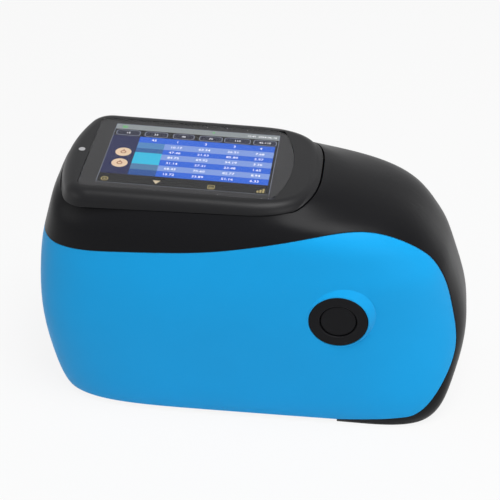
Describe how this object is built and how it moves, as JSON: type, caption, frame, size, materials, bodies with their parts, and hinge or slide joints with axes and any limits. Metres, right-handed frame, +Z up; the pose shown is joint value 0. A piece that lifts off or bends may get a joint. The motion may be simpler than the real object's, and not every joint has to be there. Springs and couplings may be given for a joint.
{
  "type": "multi-angle spectrophotometer",
  "caption": "Handheld colour-measuring instrument: rounded black body, blue side covers, screen on top, press button on one side and a round measuring port under the nose.",
  "frame": {"origin": "on the floor under the middle of the case", "axes": "+X to the nose, which holds the measuring port; +Y away from the side with the button; +Z up"},
  "size_m": [0.1913, 0.0868, 0.1107],
  "materials": {
    "black_shell": "satin soft-touch paint",
    "blue_cover": "satin soft-touch paint",
    "black_bezel": "satin",
    "pad_rubber": "matt",
    "cover_glass": "polished",
    "display": "lit screen",
    "frame_metal": "brushed",
    "ribbon_film": "satin",
    "lamp_lens": "clear",
    "ring_plastic": "satin",
    "button_plastic": "satin",
    "switch_plastic": "matt",
    "slider_plastic": "satin",
    "board": "satin",
    "port_metal": "black anodised",
    "window_glass": "polished",
    "bench_metal": "black anodised",
    "barrel_metal": "turned",
    "lens_glass": "polished",
    "lamp_glass": "clear",
    "fibre_jacket": "satin",
    "chassis_metal": "milled",
    "cradle_plastic": "matt",
    "battery_wrap": "satin",
    "mirror_glass": "polished",
    "chip_plastic": "matt",
    "screw_steel": "plain",
    "socket_metal": "plated"
  },
  "bodies": {
    "case": {"spine_shell": "black_shell", "near_side_cover": "blue_cover", "far_side_cover": "blue_cover", "base_plate": "black_shell", "foot_pads": "pad_rubber", "display_bezel": "black_bezel", "display_glass": "cover_glass", "display_panel": "display", "display_frame": "frame_metal", "display_ribbon": "ribbon_film", "status_lamp": "lamp_lens", "button_ring": "ring_plastic", "button_switch": "switch_plastic", "button_board": "board", "port_ring": "port_metal", "port_window": "window_glass", "optical_bench": "bench_metal", "receiver_barrels": "barrel_metal", "receiver_lenses": "lens_glass", "lamp_holder": "bench_metal", "collimating_lens": "lens_glass", "lamp": "lamp_glass", "lamp_board": "board", "fibres": "fibre_jacket", "fibre_collar": "barrel_metal", "chassis": "chassis_metal", "battery_cradle": "cradle_plastic", "battery_pack": "battery_wrap", "spectrometer_case": "bench_metal", "spectrometer_lid": "bench_metal", "collimator_mirror": "mirror_glass", "grating": "mirror_glass", "detector_board": "board", "main_board": "board", "processor": "chip_plastic", "beeper": "chip_plastic", "base_screws": "screw_steel", "bench_screws": "screw_steel", "board_screws": "screw_steel", "tail_panel": "slider_plastic", "flap_pin": "screw_steel", "usb_socket": "socket_metal", "tail_board": "board", "power_switch": "switch_plastic"},
    "measure_key": {"measure_button": "button_plastic", "switch_plunger": "switch_plastic"},
    "flap": {"socket_flap": "slider_plastic"},
    "power_knob": {"power_slider": "slider_plastic"}
  },
  "joints": [
    {"name": "measure_press", "type": "slide", "parent": "case", "child": "measure_key", "axis": [-0.0175, 0.9998, 0], "range_m": [0, 0.001], "stiffness_N_per_m": 2500},
    {"name": "flap_turn", "type": "hinge", "parent": "case", "child": "flap", "pos_m": [-0.0917, 0, 0.0182], "axis": [0, -1, 0], "range_deg": [0, 100]},
    {"name": "power_slide", "type": "slide", "parent": "case", "child": "power_knob", "axis": [0, 0, 1], "range_m": [0, 0.003]}
  ]
}
